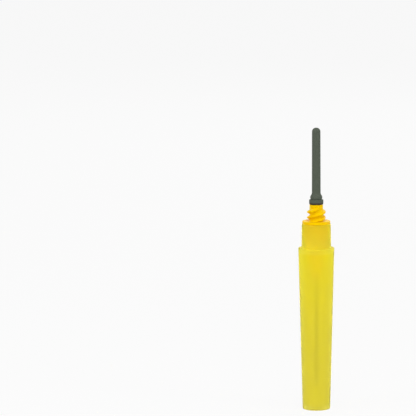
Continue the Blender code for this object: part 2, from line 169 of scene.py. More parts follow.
class NeedleSizes(bpy.types.PropertyGroup):
    """The sizes that the frame's boxes don't give."""

    foot_diameter: FloatProperty(
        name="Foot Diameter", description="Shield's outside at its closed end",
        default=0.0094, min=0.006, max=0.02, unit="LENGTH",
    )
    foot_wall: FloatProperty(
        name="Foot Wall", description="Shield's wall at its closed end",
        default=0.001, min=0.0004, max=0.002, unit="LENGTH",
    )
    foot_round: FloatProperty(
        name="Foot Round", description="Round of the shield's closed end, outside and inside",
        default=0.00035, min=0.0001, max=0.001, unit="LENGTH",
    )
    floor_thickness: FloatProperty(
        name="Floor Thickness", description="Thickness of the shield's closed end",
        default=0.0012, min=0.0005, max=0.003, unit="LENGTH",
    )
    mouth_diameter: FloatProperty(
        name="Mouth Diameter", description="Shield's outside at its rim",
        default=0.00985, min=0.006, max=0.02, unit="LENGTH",
    )
    mouth_wall: FloatProperty(
        name="Mouth Wall", description="Shield's wall at its rim",
        default=0.00082, min=0.0004, max=0.002, unit="LENGTH",
    )
    neck_length: FloatProperty(
        name="Neck Length", description="From the shield's shoulder to its rim",
        default=0.0081, min=0.002, max=0.02, unit="LENGTH",
    )
    neck_draft: FloatProperty(
        name="Neck Draft", description="How much the neck's radius grows down to the shoulder",
        default=0.0001, min=0.0, max=0.001, unit="LENGTH",
    )
    gate_diameter: FloatProperty(
        name="Gate Diameter", description="Moulding gate in the middle of the shield's foot",
        default=0.0011, min=0.0004, max=0.002, unit="LENGTH",
    )
    gate_recess: FloatProperty(
        name="Gate Recess", description="Depth of the foot's dished middle, so that the gate touches nothing",
        default=0.00022, min=0.0, max=0.0006, unit="LENGTH",
    )
    seat_gap: FloatProperty(
        name="Rim Gap", description="Gap between the shield's rim and the hub's flange",
        default=0.0002, min=0.0, max=0.001, unit="LENGTH",
    )
    flange_thickness: FloatProperty(
        name="Flange Thickness", description="Thickness of the hub's flange",
        default=0.00095, min=0.0003, max=0.002, unit="LENGTH",
    )
    seat_step: FloatProperty(
        name="Flange Step", description="How far the flange steps down inside the tube holder's seat",
        default=0.00005, min=0.0, max=0.0003, unit="LENGTH",
    )
    nose_length: FloatProperty(
        name="Nose Length", description="Length of the hub's tapered nose",
        default=0.010, min=0.002, max=0.02, unit="LENGTH",
    )
    grip_clearance: FloatProperty(
        name="Grip Clearance", description="Gap between the grip's ribs and the shield's bore",
        default=0.00012, min=0.0, max=0.001, unit="LENGTH",
    )
    rib_count: IntProperty(
        name="Ribs", description="Ribs round the hub's grip", default=16, min=4, max=32,
    )
    rib_height: FloatProperty(
        name="Rib Height", description="How far a rib stands out of the grip",
        default=0.0005, min=0.0001, max=0.001, unit="LENGTH",
    )
    rib_width: FloatProperty(
        name="Rib Width", description="Width of a rib across its top",
        default=0.0007, min=0.0002, max=0.001, unit="LENGTH",
    )
    rib_lead_in: FloatProperty(
        name="Rib Lead-In", description="Length of the slope at a rib's lower end",
        default=0.001, min=0.0002, max=0.003, unit="LENGTH",
    )
    thread_root_diameter: FloatProperty(
        name="Thread Root", description="Diameter of the hub's core between the thread's ridges",
        default=0.0046, min=0.003, max=0.008, unit="LENGTH",
    )
    thread_depth: FloatProperty(
        name="Thread Depth", description="Height of a thread ridge over its root",
        default=0.0009, min=0.0002, max=0.002, unit="LENGTH",
    )
    thread_lead: FloatProperty(
        name="Thread Lead", description="How far one turn of the thread climbs",
        default=0.0038, min=0.001, max=0.008, unit="LENGTH",
    )
    thread_starts: IntProperty(
        name="Thread Starts", description="Ridges that start round the flange", default=2, min=1, max=4,
    )
    thread_height: FloatProperty(
        name="Thread Height", description="From the flange to where the ridges have run out",
        default=0.0044, min=0.001, max=0.01, unit="LENGTH",
    )
    thread_base_width: FloatProperty(
        name="Ridge Base Width", description="Width of a thread ridge at its root",
        default=0.0015, min=0.0004, max=0.003, unit="LENGTH",
    )
    thread_crest_width: FloatProperty(
        name="Ridge Crest Width", description="Width of a thread ridge at its crest",
        default=0.00035, min=0.0001, max=0.001, unit="LENGTH",
    )
    thread_entry: FloatProperty(
        name="Thread Entry", description="Where the first ridge leaves the flange",
        default=math.radians(70.7), subtype="ANGLE",
    )
    thread_runout: FloatProperty(
        name="Thread Run-Out", description="The turn over which a ridge sinks into the core at its end",
        default=math.radians(55.0), min=math.radians(5.0), subtype="ANGLE",
    )
    boss_diameter: FloatProperty(
        name="Boss Diameter", description="The hub's boss, which holds the rubber sleeve",
        default=0.0027, min=0.0015, max=0.004, unit="LENGTH",
    )
    boss_length: FloatProperty(
        name="Boss Length", description="Length of the hub's boss",
        default=0.003, min=0.001, max=0.006, unit="LENGTH",
    )
    well_depth: FloatProperty(
        name="Well Depth", description="Depth of the adhesive's well in the nose",
        default=0.003, min=0.001, max=0.006, unit="LENGTH",
    )
    bond_gap: FloatProperty(
        name="Bond Gap", description="Gap round the adhesive and the cannula",
        default=0.0001, min=0.00002, max=0.0003, unit="LENGTH",
    )
    cannula_wall: FloatProperty(
        name="Cannula Wall", description="Wall of the steel tube",
        default=0.00015, min=0.00005, max=0.0003, unit="LENGTH",
    )
    front_bevel: FloatProperty(
        name="Front Bevel", description="Angle of the long bevel at the front point",
        default=math.radians(14.0), subtype="ANGLE",
    )
    lancet_bevel: FloatProperty(
        name="Lancet Bevel", description="Angle of the two flats beside the front point",
        default=math.radians(22.0), subtype="ANGLE",
    )
    lancet_turn: FloatProperty(
        name="Lancet Turn", description="How far each of the two flats is turned about the tube",
        default=math.radians(42.0), subtype="ANGLE",
    )
    rear_bevel: FloatProperty(
        name="Rear Bevel", description="Angle of the bevel at the rear point",
        default=math.radians(24.0), subtype="ANGLE",
    )
    sleeve_bore_diameter: FloatProperty(
        name="Sleeve Bore", description="Bore of the rubber sleeve round the cannula",
        default=0.0016, min=0.001, max=0.003, unit="LENGTH",
    )
    sleeve_wall: FloatProperty(
        name="Sleeve Wall", description="Wall of the rubber tube at its root",
        default=0.00069, min=0.0003, max=0.0015, unit="LENGTH",
    )
    sleeve_draft: FloatProperty(
        name="Sleeve Draft", description="How much thinner the tube's radius is at its tip",
        default=0.00006, min=0.0, max=0.0003, unit="LENGTH",
    )
    socket_gap: FloatProperty(
        name="Socket Gap", description="Gap between the hub's boss and the sleeve's socket",
        default=0.0001, min=0.0, max=0.0003, unit="LENGTH",
    )
    flare_wall: FloatProperty(
        name="Flare Wall", description="Wall of the sleeve's flared socket",
        default=0.0006, min=0.0002, max=0.0015, unit="LENGTH",
    )
    flare_length: FloatProperty(
        name="Flare Length", description="From the sleeve's foot to the top of its flare",
        default=0.00255, min=0.001, max=0.006, unit="LENGTH",
    )
    flare_slope: FloatProperty(
        name="Flare Slope", description="Height of the slope from the flare to the tube",
        default=0.001, min=0.0002, max=0.003, unit="LENGTH",
    )
    ring_height: FloatProperty(
        name="Ring Height", description="Height of the sleeve's base ring",
        default=0.0014, min=0.0005, max=0.003, unit="LENGTH",
    )
    ring_bevel: FloatProperty(
        name="Ring Bevel", description="Height of the slope above the base ring",
        default=0.0003, min=0.0001, max=0.001, unit="LENGTH",
    )
    crease_depth: FloatProperty(
        name="Crease Depth", description="Depth and height of the crease between the flare and the base ring",
        default=0.0002, min=0.0, max=0.0004, unit="LENGTH",
    )
    tip_wall: FloatProperty(
        name="Tip Wall", description="Thickness of the sleeve's closed end",
        default=0.002, min=0.0005, max=0.004, unit="LENGTH",
    )
    tip_round: FloatProperty(
        name="Tip Round", description="Round of the sleeve's closed end",
        default=0.0013, min=0.0002, max=0.0015, unit="LENGTH",
    )


class NeedleColours(bpy.types.PropertyGroup):
    """The colours of the finishes, as linear light."""

    shield_foot: FloatVectorProperty(
        name="Shield Foot", description="Frosted shield plastic where its wall is thick", subtype="COLOR",
        default=(0.873, 0.806, 0.108), min=0.0, max=1.0,
    )
    shield_shoulder: FloatVectorProperty(
        name="Shield Shoulder", description="Frosted shield plastic at its shoulder", subtype="COLOR",
        default=(0.94, 0.858, 0.037), min=0.0, max=1.0,
    )
    # Painted highlight: this paler colour of the band under the ledge stands in for the light that the
    # ledge's rounded edge catches
    painted_ledge_highlight: FloatVectorProperty(
        name="Shield Ledge", description="Frosted shield plastic at its ledge, where its wall is thickest",
        subtype="COLOR", default=(0.95, 0.9, 0.11), min=0.0, max=1.0,
    )
    shield_mouth: FloatVectorProperty(
        name="Shield Mouth", description="Frosted shield plastic round the grip", subtype="COLOR",
        default=(0.967, 0.86, 0.04), min=0.0, max=1.0,
    )
    hub: FloatVectorProperty(
        name="Hub", description="Deep yellow hub plastic", subtype="COLOR",
        default=(0.858, 0.543, 0.0), min=0.0, max=1.0,
    )
    hub_nose: FloatVectorProperty(
        name="Hub Nose", description="Hub plastic at the nose's tip, paler because its wall is thin",
        subtype="COLOR", default=(1.0, 0.8, 0.03), min=0.0, max=1.0,
    )
    steel: FloatVectorProperty(
        name="Steel", description="Stainless steel of the cannula", subtype="COLOR",
        default=(0.42, 0.415, 0.4), min=0.0, max=1.0,
    )
    adhesive: FloatVectorProperty(
        name="Adhesive", description="Clear adhesive round the cannula", subtype="COLOR",
        default=(0.95, 0.92, 0.80), min=0.0, max=1.0,
    )
    rubber: FloatVectorProperty(
        name="Rubber", description="Grey-green sleeve rubber", subtype="COLOR",
        default=(0.0795, 0.0935, 0.0705), min=0.0, max=1.0,
    )
    # Painted shade: the ring's foot is darker where it meets the hub
    painted_ring_foot_shade: FloatVectorProperty(
        name="Ring Foot", description="The sleeve's foot, darker where it is pressed on to the hub",
        subtype="COLOR", default=(0.056, 0.05, 0.036), min=0.0, max=1.0,
    )
    floor: FloatVectorProperty(
        name="Floor", description="Pale studio floor", subtype="COLOR",
        default=(0.68, 0.68, 0.68), min=0.0, max=1.0,
    )


class Corner(NamedTuple):
    """A corner of a turned outline, its round, and the longest step of the run that follows it."""

    radius: float
    height: float
    round: float = 0.0
    piece: float = LONG_PIECE


class Wiring:
    """Adds nodes to a node tree, each fed with values or with other nodes' outputs."""

    def __init__(self, tree):
        self.tree = tree

    def feed(self, socket, value):
        """Links an output to a socket, or sets the socket's own value."""
        if isinstance(value, bpy.types.NodeSocket):
            self.tree.links.new(value, socket)
        else:
            socket.default_value = value

    def add(self, kind, feeds=(), **settings):
        """A new node with its settings, and its inputs fed by name or by number."""
        node = self.tree.nodes.new(kind)
        node.location.x = NODE_SPACING * len(self.tree.nodes)
        for name, value in settings.items():
            setattr(node, name, value)
        for key, value in dict(feeds).items():
            self.feed(node.inputs[key], value)
        return node

    def math(self, operation, *values, clamp=False):
        """The output of a Math node."""
        return self.add("ShaderNodeMath", enumerate(values), operation=operation, use_clamp=clamp).outputs[0]

    def object_place(self):
        """The place of a surface point in its piece's own coordinates."""
        return self.add("ShaderNodeTexCoord").outputs["Object"]

    def height_of(self, place):
        """The height of a place."""
        return self.add("ShaderNodeSeparateXYZ", {0: place}).outputs[2]

    def noise(self, place, scale, detail=2.0, roughness=0.5):
        """The value of a noise texture, from 0 to 1 about a middle of 0.5."""
        feeds = {"Vector": place, "Scale": scale, "Detail": detail, "Roughness": roughness}
        return self.add("ShaderNodeTexNoise", feeds).outputs["Fac"]

    def drawn_out(self, place, share):
        """A place whose height counts for a share of itself, which draws a pattern out into upright lines."""
        return self.add("ShaderNodeMapping", {"Vector": place, "Scale": (1.0, 1.0, share)}).outputs["Vector"]

    def ramp(self, value, start, end, low=0.0, high=1.0, smooth=False):
        """A value that goes from low to high as another goes from start to end."""
        feeds = {"Value": value, "From Min": start, "From Max": end, "To Min": low, "To Max": high}
        curve = "SMOOTHSTEP" if smooth else "LINEAR"
        return self.add("ShaderNodeMapRange", feeds, interpolation_type=curve).outputs["Result"]

    def between(self, factor, low, high):
        """A value that goes from low to high as a factor goes from 0 to 1."""
        return self.ramp(factor, 0.0, 1.0, low, high)

    def blend_colour(self, factor, first, second):
        """A colour between two."""
        node = self.add("ShaderNodeMix", data_type="RGBA")
        for socket, value in zip((node.inputs[0], node.inputs[6], node.inputs[7]), (factor, first, second)):
            self.feed(socket, value)
        return node.outputs[2]

    def bump(self, height, distance, under=None):
        """A bump of a height texture, over another bump if there is one."""
        node = self.add("ShaderNodeBump", {"Height": height, "Distance": distance})
        if under is not None:
            self.feed(node.inputs["Normal"], under)
        return node.outputs["Normal"]

    def dress(self, shader, colour, roughness, normal):
        """Feeds a shader with its colour, roughness and normal."""
        for socket, value in (("Base Color", colour), ("Roughness", roughness), ("Normal", normal)):
            self.feed(shader.inputs[socket], value)


def shade(colour, share=1.0):
    """A colour made darker or lighter by a share, with full opacity."""
    return (*(min(1.0, channel * share) for channel in colour), 1.0)


def new_finish(name, **constants):
    """A Principled material with its constant sockets set, its wiring and its shader."""
    material = bpy.data.materials.new(name)
    material.use_nodes = True
    shader = material.node_tree.nodes["Principled BSDF"]
    for socket, value in constants.items():
        shader.inputs[socket.replace("_", " ")].default_value = value
    return material, Wiring(material.node_tree), shader


def arc_share(other):
    """The share of an edge that an arc may take, by the corner at the edge's other end."""
    return ARC_EDGE_SHARE if other.round else 2 * ARC_EDGE_SHARE


def arc_points(before, corner, after):
    """The points of a corner's arc, which is limited by its share of each edge beside it."""
    middle_point = Vector(corner[:2])
    back = Vector(before[:2]) - middle_point
    ahead = Vector(after[:2]) - middle_point
    half_angle = back.angle(ahead) / 2
    edge_limit = min(back.length * arc_share(before), ahead.length * arc_share(after))
    reach = min(corner.round / math.tan(half_angle), edge_limit)
    middle = (back.normalized() + ahead.normalized()).normalized()
    centre = middle_point + middle * (reach / math.cos(half_angle))
    start = middle_point + back.normalized() * reach - centre
    end = middle_point + ahead.normalized() * reach - centre
    turn = start.angle_signed(end)
    steps = max(2, math.ceil(abs(math.degrees(turn)) / ARC_STEP_DEGREES))
    return [centre + Matrix.Rotation(-turn * step / steps, 2) @ start for step in range(steps + 1)]


def outline_points(corners, closed):
    """An outline's points, with its corners rounded and its runs divided into short pieces."""
    count = len(corners)
    arcs = []
    for index, corner in enumerate(corners):
        at_end = not closed and index in (0, count - 1)
        if corner.round and not at_end:
            arcs.append(arc_points(corners[index - 1], corner, corners[(index + 1) % count]))
        else:
            arcs.append([Vector(corner[:2])])
    points = []
    for index in range(count):
        points.extend(arcs[index])
        if index == count - 1 and not closed:
            break
        start = arcs[index][-1]
        run = arcs[(index + 1) % count][0] - start
        steps = math.ceil(run.length / corners[index].piece)
        points.extend(start + run * step / steps for step in range(1, steps))
    return points


def turned(name, corners, sides, closed=False):
    """A closed shell turned about the needle's axis, with its faces outwards."""
    points = outline_points(corners, closed)
    shape = bmesh.new()
    verts = [shape.verts.new((point.x, 0.0, point.y)) for point in points]
    edges = [shape.edges.new(pair) for pair in zip(verts, verts[1:])]
    if closed:
        edges.append(shape.edges.new((verts[-1], verts[0])))
    bmesh.ops.spin(
        shape, geom=verts + edges, cent=(0.0, 0.0, 0.0), axis=(0.0, 0.0, 1.0),
        angle=math.tau, steps=sides, use_merge=True,
    )
    bmesh.ops.remove_doubles(shape, verts=shape.verts, dist=MERGE_DISTANCE)
    bmesh.ops.recalc_face_normals(shape, faces=shape.faces)
    return link_mesh(name, shape)


def link_mesh(name, shape):
    """An object in the scene from a bmesh."""
    mesh = bpy.data.meshes.new(name)
    shape.to_mesh(mesh)
    shape.free()
    item = bpy.data.objects.new(name, mesh)
    bpy.context.scene.collection.objects.link(item)
    return item


def settle(item):
    """Turns an object's modifiers into a plain mesh, and takes them off."""
    graph = bpy.context.evaluated_depsgraph_get()
    mesh = bpy.data.meshes.new_from_object(item.evaluated_get(graph))
    item.modifiers.clear()
    item.data = mesh


def smooth(item):
    """Shades an object smooth, apart from its sharp edges."""
    item.data.shade_smooth()
    item.data.set_sharp_from_angle(angle=math.radians(SHARP_DEGREES))


def shield_finish(colours, shoulder):
    """Frosted plastic that lets light through: cloudy colour, fine grain and faint draw lines."""
    material, wiring, shader = new_finish(
        "frosted_shield_plastic", IOR=1.2, Transmission_Weight=0.7, Specular_IOR_Level=0.35,
    )
    place = wiring.object_place()
    height = wiring.height_of(place)
    up = wiring.math("POWER", wiring.math("DIVIDE", height, shoulder, clamp=True), SHOULDER_FADE)
    cloud = wiring.noise(place, scale=260.0, detail=3.0)
    drift = wiring.math("ADD", up, wiring.between(cloud, -CLOUD_DRIFT, CLOUD_DRIFT), clamp=True)
    body = wiring.blend_colour(drift, shade(colours.shield_foot), shade(colours.shield_shoulder))
    # Painted highlight: a paler band under the ledge, where its rounded edge catches the light
    band_foot = shoulder - LEDGE_HIGHLIGHT_BAND
    ledge = wiring.ramp(height, band_foot, band_foot + LEDGE_HIGHLIGHT_BAND / 2, high=LEDGE_HIGHLIGHT_SHARE, smooth=True)
    body = wiring.blend_colour(ledge, body, shade(colours.painted_ledge_highlight))
    neck = wiring.ramp(height, shoulder, shield_high.z, smooth=True)
    colour = wiring.blend_colour(neck, body, shade(colours.shield_mouth))
    draw_lines = wiring.noise(wiring.drawn_out(place, 0.015), scale=5200.0, detail=3.0, roughness=0.6)
    grain = wiring.noise(place, scale=11000.0)
    lined = wiring.bump(draw_lines, distance=0.000004)
    grained = wiring.bump(grain, distance=0.000005, under=lined)
    wiring.dress(shader, colour, wiring.between(draw_lines, 0.52, 0.58), grained)
    return material


def hub_finish(colours):
    """Satin hub plastic: deep colour with faint flow marks and a slightly uneven gloss."""
    material, wiring, shader = new_finish(
        "hub_plastic", IOR=1.49, Specular_IOR_Level=0.15, Specular_Tint=(1.0, 0.75, 0.12, 1.0),
        Subsurface_Weight=0.25, Subsurface_Scale=0.0006, Subsurface_Radius=(1.0, 0.5, 0.05),
    )
    place = wiring.object_place()
    down = wiring.ramp(wiring.height_of(place), shield_high.z, hub_low.z)
    flow = wiring.noise(wiring.drawn_out(place, 0.35), scale=700.0, detail=3.0)
    body = wiring.blend_colour(flow, shade(colours.hub, 0.96), shade(colours.hub, 1.04))
    colour = wiring.blend_colour(wiring.math("POWER", down, NOSE_FADE), body, shade(colours.hub_nose))
    skin = wiring.noise(place, scale=5200.0)
    wiring.dress(shader, colour, wiring.between(skin, 0.42, 0.52), wiring.bump(skin, distance=0.000003))
    return material


def steel_finish(colours):
    """Drawn stainless steel: fine lines along the tube and a slightly uneven gloss."""
    material, wiring, shader = new_finish("drawn_steel", Metallic=1.0)
    place = wiring.object_place()
    lines = wiring.noise(wiring.drawn_out(place, 0.02), scale=26000.0, detail=3.0, roughness=0.6)
    patches = wiring.noise(place, scale=900.0)
    colour = wiring.blend_colour(patches, shade(colours.steel, 0.94), shade(colours.steel, 1.06))
    wiring.dress(shader, colour, wiring.between(lines, 0.16, 0.34), wiring.bump(lines, distance=0.0000015))
    return material


def adhesive_finish(colours):
    """Clear set adhesive with a soft ripple on its free face."""
    material, wiring, shader = new_finish(
        "clear_adhesive", IOR=1.52, Transmission_Weight=0.9, Specular_IOR_Level=0.5,
    )
    ripple = wiring.noise(wiring.object_place(), scale=1400.0, detail=1.0)
    colour = wiring.blend_colour(ripple, shade(colours.adhesive, 0.97), shade(colours.adhesive, 1.03))
    wiring.dress(shader, colour, wiring.between(ripple, 0.04, 0.12), wiring.bump(ripple, distance=0.00001))
    return material


def rubber_finish(colours):
    """Matt rubber with a bloom of talc: mottled grey-green, finely pitted and drawn along the tube."""
    material, wiring, shader = new_finish("sleeve_rubber", IOR=1.5, Specular_IOR_Level=0.12)
    place = wiring.object_place()
    mottle = wiring.noise(place, scale=900.0, detail=4.0, roughness=0.6)
    talc = wiring.noise(place, scale=6500.0, detail=3.0, roughness=0.65)
    speckle = wiring.ramp(talc, 0.58, 0.78, high=0.35)
    ground = wiring.blend_colour(mottle, shade(colours.rubber, 0.9), shade(colours.rubber, 1.1))
    dusted = wiring.blend_colour(speckle, ground, shade(colours.rubber, 1.7))
    # Painted shade at the foot of the ring, where it meets the hub
    shade_top = sleeve_low.z + RING_FOOT_SHADE_HEIGHT
    over_shade = wiring.ramp(wiring.height_of(place), shade_top, shade_top + EDGE_ROUND)
    colour = wiring.blend_colour(over_shade, shade(colours.painted_ring_foot_shade), dusted)
    pulled = wiring.noise(wiring.drawn_out(place, 0.06), scale=5200.0)
    lined = wiring.bump(pulled, distance=0.000008)
    pitted = wiring.bump(talc, distance=0.000006, under=lined)
    wiring.dress(shader, colour, wiring.between(mottle, 0.52, 0.7), pitted)
    return material


def floor_finish(colours):
    """A pale matt floor that a camera sees as nearly white, apart from the shadow on it."""
    material, wiring, matt = new_finish(
        "studio_floor", Base_Color=shade(colours.floor), Roughness=0.9, Specular_IOR_Level=0.0,
    )
    white = wiring.add("ShaderNodeEmission", {"Strength": 1.0}).outputs[0]
    seen = wiring.math("MULTIPLY", seen_directly(wiring), FLOOR_WHITENESS)
    mixed = wiring.add("ShaderNodeMixShader", {0: seen, 1: matt.outputs[0], 2: white}).outputs[0]
    wiring.feed(material.node_tree.nodes["Material Output"].inputs["Surface"], mixed)
    return material


def seen_directly(wiring):
    """One for a ray from the camera, a reflection or a clear surface, and nought for the light itself."""
    path = wiring.add("ShaderNodeLightPath").outputs
    seen = wiring.math("MAXIMUM", path["Is Camera Ray"], path["Is Glossy Ray"])
    return wiring.math("MAXIMUM", seen, path["Is Transmission Ray"])


def thread_relief(wiring, given, angle, height):
    """How far the thread stands out of its core at an angle and a height.

    The nearest ridge is the one whose crest is nearest in height. Each ridge climbs out of the flange, and
    sinks into the core over its run-out.
    """
    above = wiring.math("SUBTRACT", height, given["Thread Foot"])
    climbed = wiring.math("DIVIDE", above, given["Thread Lead"])
    round_the_axis = wiring.math("DIVIDE", wiring.math("SUBTRACT", angle, given["Thread Entry"]), math.tau)
    ridges = wiring.math("MULTIPLY", wiring.math("SUBTRACT", climbed, round_the_axis), given["Thread Starts"])
    past_ridge = wiring.math("SUBTRACT", ridges, wiring.math("ROUND", ridges))
    pitch = wiring.math("DIVIDE", given["Thread Lead"], given["Thread Starts"])
    off_crest = wiring.math("MULTIPLY", past_ridge, pitch)
    left = wiring.math("SUBTRACT", given["Thread Height"], wiring.math("SUBTRACT", above, off_crest))
    turn_share = wiring.math("DIVIDE", given["Thread Run-Out"], math.tau)
    runout_climb = wiring.math("MULTIPLY", given["Thread Lead"], turn_share)
    fullness = wiring.ramp(left, 0.0, runout_climb, smooth=True)
    base_half = wiring.math("MULTIPLY", given["Ridge Base Width"], 0.5)
    crest_half = wiring.math("MULTIPLY", given["Ridge Crest Width"], 0.5)
    inside = wiring.math("SUBTRACT", base_half, wiring.math("ABSOLUTE", off_crest))
    flank = wiring.math("DIVIDE", inside, wiring.math("SUBTRACT", base_half, crest_half))
    missing = wiring.math("SUBTRACT", 1.0, fullness)
    lowered = wiring.math("SUBTRACT", flank, missing)
    crest = wiring.math("SUBTRACT", fullness, wiring.math("MULTIPLY", missing, given["Ridge Sink"]))
    topped = wiring.math("SMOOTH_MIN", lowered, crest, given["Ridge Softness"])
    ridge = wiring.math("SMOOTH_MAX", topped, 0.0, given["Ridge Softness"])
    return wiring.math("MULTIPLY", ridge, given["Thread Depth"])


def rib_relief(wiring, given, angle, height, radius):
    """How far the grip's ribs stand out of their core, with a slope at each rib's lower end."""
    steps = wiring.math("MULTIPLY", angle, wiring.math("DIVIDE", given["Rib Count"], math.tau))
    past_rib = wiring.math("SUBTRACT", steps, wiring.math("ROUND", steps))
    rib_angle = wiring.math("DIVIDE", math.tau, given["Rib Count"])
    off_rib = wiring.math("MULTIPLY", wiring.math("MULTIPLY", past_rib, rib_angle), radius)
    half = wiring.math("MULTIPLY", given["Rib Width"], 0.5)
    inside = wiring.math("SUBTRACT", half, wiring.math("ABSOLUTE", off_rib))
    flank = wiring.math("ADD", wiring.math("DIVIDE", inside, given["Rib Edge"]), 0.5)
    topped = wiring.math("SMOOTH_MIN", flank, 1.0, given["Ridge Softness"])
    rib = wiring.math("SMOOTH_MAX", topped, 0.0, given["Ridge Softness"])
    climbed = wiring.math("SUBTRACT", height, given["Rib Foot"])
    led_in = wiring.math("DIVIDE", climbed, given["Rib Lead-In"], clamp=True)
    return wiring.math("MULTIPLY", wiring.math("MULTIPLY", rib, led_in), given["Rib Height"])


def zone_lift(wiring, given, place, core, relief, low, high):
    """How far a point of one stretch of the core moves outwards, and nought for any other point."""
    radius, height = place
    target = wiring.math("ADD", core, relief)
    lift = wiring.math("MAXIMUM", wiring.math("SUBTRACT", target, radius), 0.0)
    on_core = wiring.math("COMPARE", radius, core, given["Zone Margin"])
    over_low = wiring.math("GREATER_THAN", height, wiring.math("SUBTRACT", low, HAIR))
    under_high = wiring.math("LESS_THAN", height, wiring.math("ADD", high, HAIR))
    in_zone = wiring.math("MULTIPLY", on_core, wiring.math("MULTIPLY", over_low, under_high))
    return wiring.math("MULTIPLY", lift, in_zone)


def relief_tree(names):
    """Geometry Nodes that raise the thread and the grip's ribs out of the hub's turned core."""
    tree = bpy.data.node_groups.new("hub_relief", "GeometryNodeTree")
    tree.interface.new_socket(name="Geometry", in_out="INPUT", socket_type="NodeSocketGeometry")
    for name in names:
        tree.interface.new_socket(name=name, in_out="INPUT", socket_type="NodeSocketFloat")
    tree.interface.new_socket(name="Material", in_out="INPUT", socket_type="NodeSocketMaterial")
    tree.interface.new_socket(name="Geometry", in_out="OUTPUT", socket_type="NodeSocketGeometry")
    wiring = Wiring(tree)
    given = wiring.add("NodeGroupInput").outputs
    position = wiring.add("GeometryNodeInputPosition").outputs[0]
    x, y, height = wiring.add("ShaderNodeSeparateXYZ", {0: position}).outputs
    flat = wiring.add("ShaderNodeCombineXYZ", {0: x, 1: y}).outputs[0]
    radius = wiring.add("ShaderNodeVectorMath", {0: flat}, operation="LENGTH").outputs["Value"]
    outwards = wiring.add("ShaderNodeVectorMath", {0: flat}, operation="NORMALIZE").outputs["Vector"]
    angle = wiring.math("ARCTAN2", y, x)
    thread = thread_relief(wiring, given, angle, height)
    ribs = rib_relief(wiring, given, angle, height, radius)
    place = (radius, height)
    thread_lift = zone_lift(
        wiring, given, place, given["Thread Core Radius"], thread, given["Thread Floor"], given["Thread Top"],
    )
    rib_lift = zone_lift(
        wiring, given, place, given["Grip Core Radius"], ribs, given["Rib Foot"], given["Rib Top"],
    )
    lift = wiring.math("ADD", thread_lift, rib_lift)
    offset = wiring.add("ShaderNodeVectorMath", {0: outwards, "Scale": lift}, operation="SCALE").outputs[0]
    feeds = {"Geometry": given["Geometry"], "Offset": offset}
    moved = wiring.add("GeometryNodeSetPosition", feeds).outputs[0]
    real = wiring.add("GeometryNodeRealizeInstances", {"Geometry": moved}).outputs[0]
    feeds = {"Geometry": real, "Material": given["Material"]}
    finished = wiring.add("GeometryNodeSetMaterial", feeds).outputs[0]
    wiring.add("NodeGroupOutput", {0: finished})
    return tree


def add_relief(item, sizes, material):
    """Puts the relief on the hub's core, with each input set by its socket's identifier."""
    tree = relief_tree(sizes)
    modifier = item.modifiers.new("relief", "NODES")
    modifier.node_group = tree
    given = {**sizes, "Material": material}
    for socket in tree.interface.items_tree:
        if socket.in_out == "INPUT" and socket.name in given:
            modifier[socket.identifier] = given[socket.name]


def grind_block(name, point_height, towards, bevel, turn, radius):
    """A block whose one face grinds a flat on the tube, through its point and turned about it."""
    size = GRIND_BLOCK_RADII * radius / math.sin(bevel)
    block = bmesh.new()
    bmesh.ops.create_cube(block, size=size)
    bmesh.ops.translate(block, verts=block.verts, vec=(0.0, -size / 2, 0.0))
    lean = Matrix.Rotation(-towards * bevel, 4, "X")
    edge = Matrix.Translation((0.0, radius, point_height))
    about = Matrix.Rotation(turn, 4, "Z")
    bmesh.ops.transform(block, matrix=edge @ about @ lean, verts=block.verts)
    return link_mesh(name, block)


class NEEDLE_OT_make_shield(bpy.types.Operator):
    """Make the front shield: a closed, tapered cup with a shoulder and a narrower neck"""

    bl_idname = "needle.make_shield"
    bl_label = "Make Shield"

    def execute(self, context):
        sizes = context.scene.needle_sizes
        rim = shield_high.z + RIM_LIFT
        shoulder = shield_high.z - sizes.neck_length
        foot = sizes.foot_diameter / 2
        mouth = sizes.mouth_diameter / 2
        neck_root = mouth + sizes.neck_draft
        gate = sizes.gate_diameter / 2
        recess = sizes.gate_recess
        corners = [
            Corner(0.0, recess / 2),
            Corner(gate, recess / 2, FINE_ROUND),
            Corner(gate + SOFT_ROUND, recess, FINE_ROUND, WALL_PIECE),
            Corner(foot / 2, recess, SOFT_ROUND),
            Corner(foot / 2 + SOFT_ROUND, 0.0, EDGE_ROUND, WALL_PIECE),
            Corner(foot, 0.0, sizes.foot_round, WALL_PIECE),
            Corner(shield_high.x, shoulder, EDGE_ROUND + SOFT_ROUND / 2),
            Corner(neck_root, shoulder, EDGE_ROUND, WALL_PIECE),
            Corner(mouth, rim, EDGE_ROUND + SOFT_ROUND),
            Corner(mouth - sizes.mouth_wall, rim, EDGE_ROUND, WALL_PIECE),
            Corner(foot - sizes.foot_wall, sizes.floor_thickness, sizes.foot_round, WALL_PIECE),
            Corner(0.0, sizes.floor_thickness),
        ]
        shield = turned("front_shield", corners, SHIELD_SIDES)
        smooth(shield)
        shield.data.materials.append(shield_finish(context.scene.needle_colours, shoulder))
        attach(shield, "shield")
        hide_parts("needle_shield")
        return {"FINISHED"}


